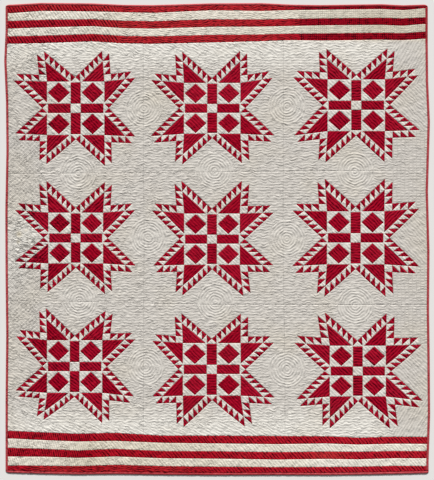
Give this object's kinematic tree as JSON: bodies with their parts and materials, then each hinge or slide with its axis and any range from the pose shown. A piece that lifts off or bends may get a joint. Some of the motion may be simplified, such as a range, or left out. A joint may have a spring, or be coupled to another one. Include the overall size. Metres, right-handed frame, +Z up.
{
  "type": "star quilt blanket",
  "caption": "Red and white pieced cotton quilt with feathered stars, striped border strips at its top and bottom, and a bound edge, laid out flat.",
  "frame": {"origin": "middle of the quilt's outline, on its flat underside", "axes": "+X to the quilt's right side, +Y towards its top edge, which is the longer way, +Z up through the thickness from the underside to the quilted face"},
  "size_m": [1.96, 2.174, 0.005],
  "materials": {
    "white_ground": "white plain-weave cotton ground of the pieced blocks, quilted by hand",
    "red_cotton": "red plain-weave cotton of strips and star patches, a little faded, quilted",
    "white_cotton": "white plain-weave cotton, slightly yellowed, quilted",
    "binding": "folded red cotton strip with a worn, lighter edge"
  },
  "bodies": {
    "root": {"block_1_1": "white_ground", "block_1_2": "white_ground", "block_1_3": "white_ground", "block_2_1": "white_ground", "block_2_2": "white_ground", "block_2_3": "white_ground", "block_3_1": "white_ground", "block_3_2": "white_ground", "block_3_3": "white_ground", "top_strip_1": "red_cotton", "top_strip_2": "white_cotton", "top_strip_3": "red_cotton", "top_strip_4": "white_cotton", "top_strip_5": "red_cotton", "bottom_strip_1": "red_cotton", "bottom_strip_2": "white_cotton", "bottom_strip_3": "red_cotton", "bottom_strip_4": "white_cotton", "bottom_strip_5": "red_cotton", "binding_top": "binding", "binding_bottom": "binding", "binding_left": "binding", "binding_right": "binding"}
  },
  "joints": []
}
